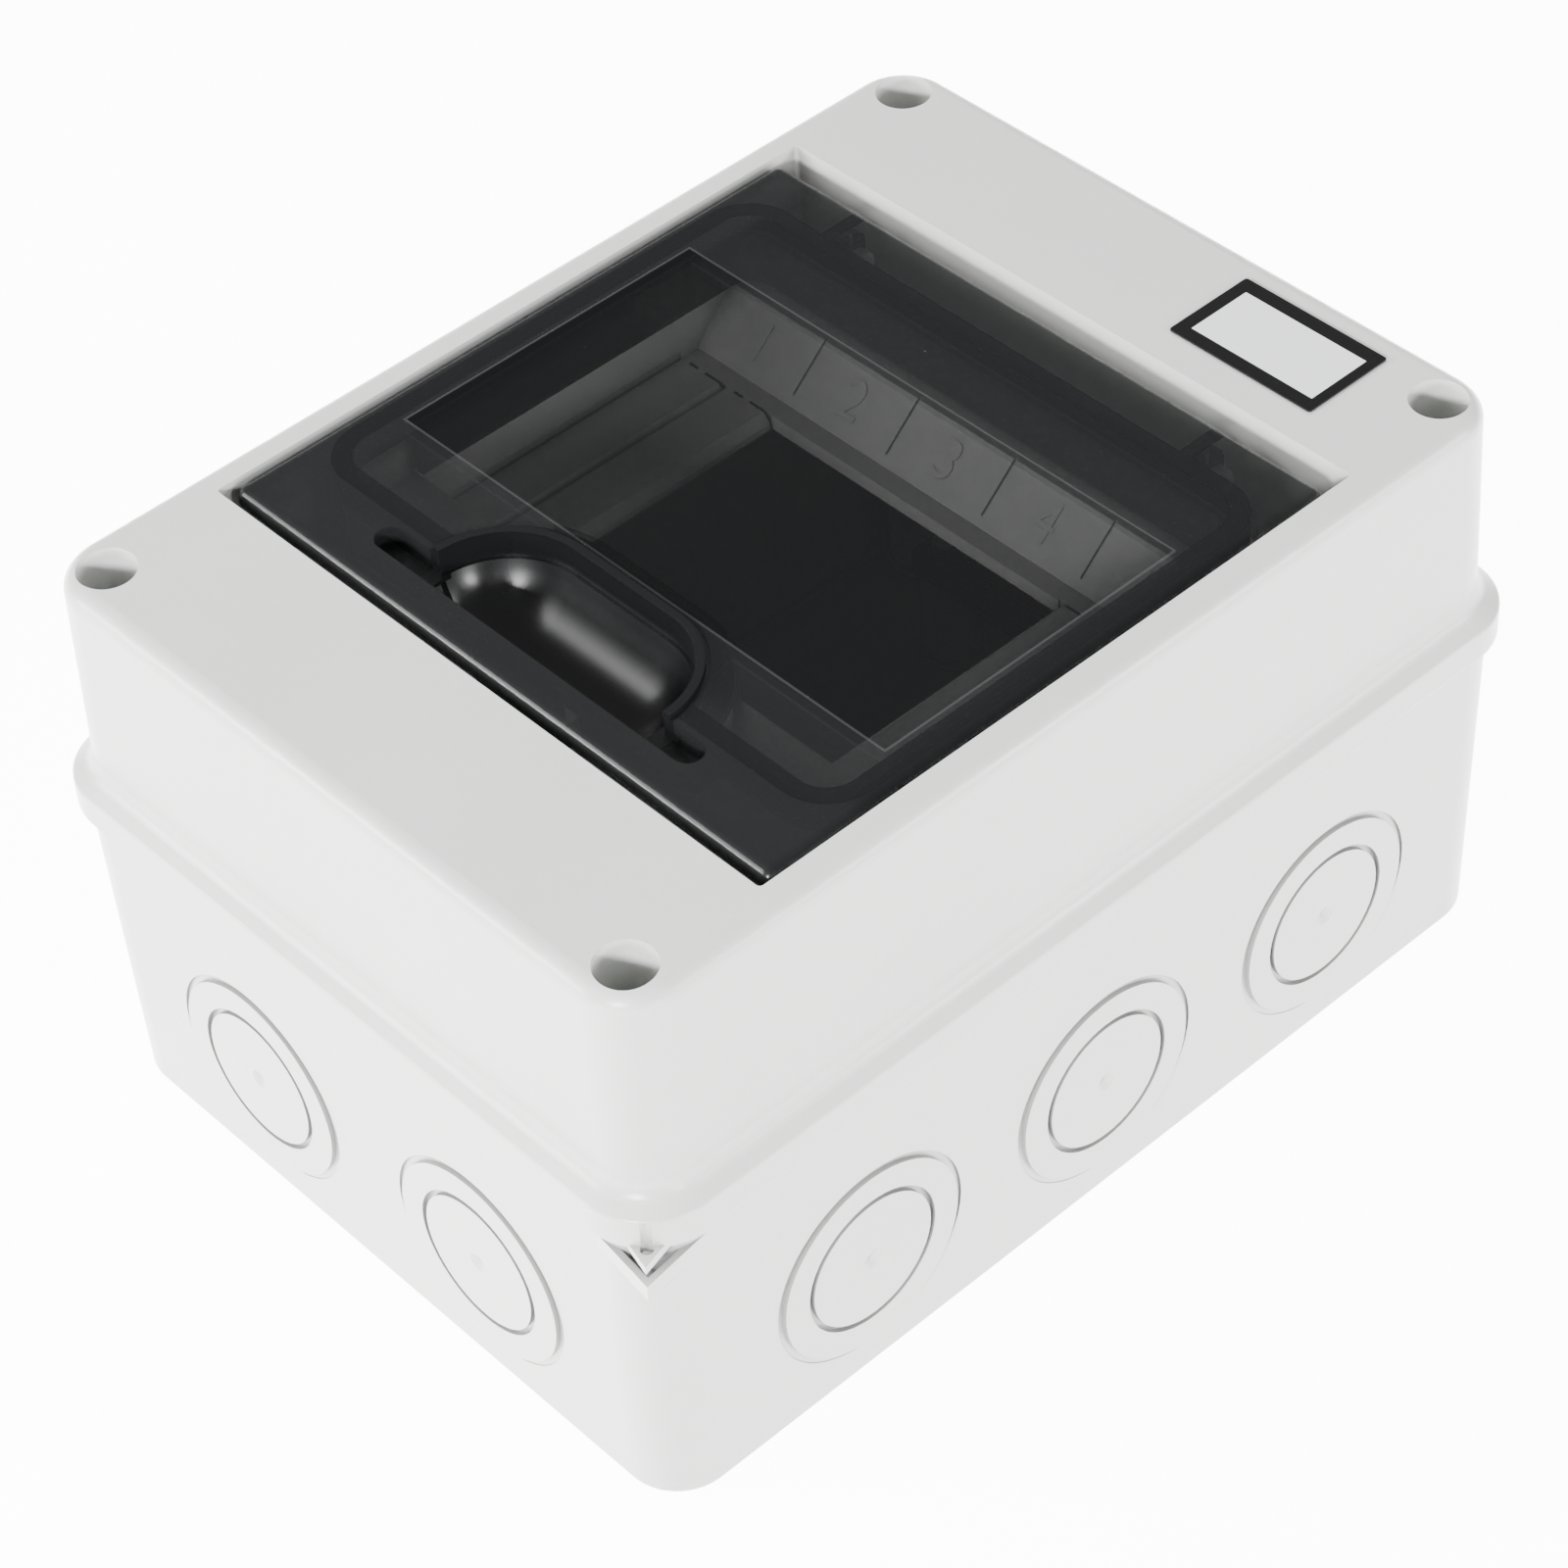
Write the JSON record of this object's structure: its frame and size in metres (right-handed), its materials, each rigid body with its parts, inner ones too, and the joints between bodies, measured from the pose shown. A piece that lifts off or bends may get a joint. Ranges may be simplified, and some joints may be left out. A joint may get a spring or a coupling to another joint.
{
  "type": "surface-mounted breaker box",
  "caption": "Surface-mounted box for modular circuit breakers, with a lift-up smoked door, a screwed cover, a top-hat rail and terminal bars.",
  "frame": {"origin": "middle of the outline, on the wall side, so the box lies on its back", "axes": "+X across the width, +Y along the length towards the hinge end, which is up on a wall, +Z away from the wall"},
  "size_m": [0.118, 0.158, 0.0893],
  "materials": {
    "grey_plastic": "fine matte moulded thermoplastic",
    "smoked_plastic": "glossy smoked transparent plastic",
    "seal": "soft black elastomer",
    "label": "printed film",
    "brass": "bright drawn brass",
    "steel": "zinc plated",
    "blue_plastic": "moulded polyamide",
    "green_plastic": "moulded polyamide"
  },
  "bodies": {
    "base": {"base_box": "grey_plastic", "pillar_inserts": "brass", "cover_gasket": "seal", "din_rail": "steel", "rail_screws": "steel", "neutral_bar": "brass", "neutral_screws": "steel", "neutral_carrier": "blue_plastic", "earth_bar": "brass", "earth_screws": "steel", "earth_carrier": "green_plastic", "carrier_screws": "steel"},
    "cover": {"cover": "grey_plastic", "label_plate": "label", "screw_seals": "seal", "hinge_pin_left": "steel", "hinge_pin_right": "steel"},
    "door": {"door": "smoked_plastic", "door_gasket": "seal"},
    "latch": {"latch_hook": "smoked_plastic"},
    "screw_1": {"cover_screw_1": "steel"},
    "screw_2": {"cover_screw_2": "steel"},
    "screw_3": {"cover_screw_3": "steel"},
    "screw_4": {"cover_screw_4": "steel"}
  },
  "joints": [
    {"name": "cover_lift", "type": "slide", "parent": "base", "child": "cover", "axis": [0, 0, 1], "range_m": [0, 0.09]},
    {"name": "door_hinge", "type": "hinge", "parent": "cover", "child": "door", "pos_m": [0, 0.043, 0.0835], "axis": [-1, 0, 0], "range_deg": [0, 105]},
    {"name": "latch_release", "type": "slide", "parent": "door", "child": "latch", "axis": [0, -1, 0], "range_m": [0, 0.0014], "stiffness_N_per_m": 2500, "springref_m": -0.0004},
    {"name": "cover_screw_1_turn", "type": "hinge", "parent": "cover", "child": "screw_1", "pos_m": [-0.049, -0.06943, 0.062], "axis": [0, 0, 1], "continuous": true},
    {"name": "cover_screw_2_turn", "type": "hinge", "parent": "cover", "child": "screw_2", "pos_m": [-0.049, 0.06943, 0.062], "axis": [0, 0, 1], "continuous": true},
    {"name": "cover_screw_3_turn", "type": "hinge", "parent": "cover", "child": "screw_3", "pos_m": [0.049, -0.06943, 0.062], "axis": [0, 0, 1], "continuous": true},
    {"name": "cover_screw_4_turn", "type": "hinge", "parent": "cover", "child": "screw_4", "pos_m": [0.049, 0.06943, 0.062], "axis": [0, 0, 1], "continuous": true}
  ]
}
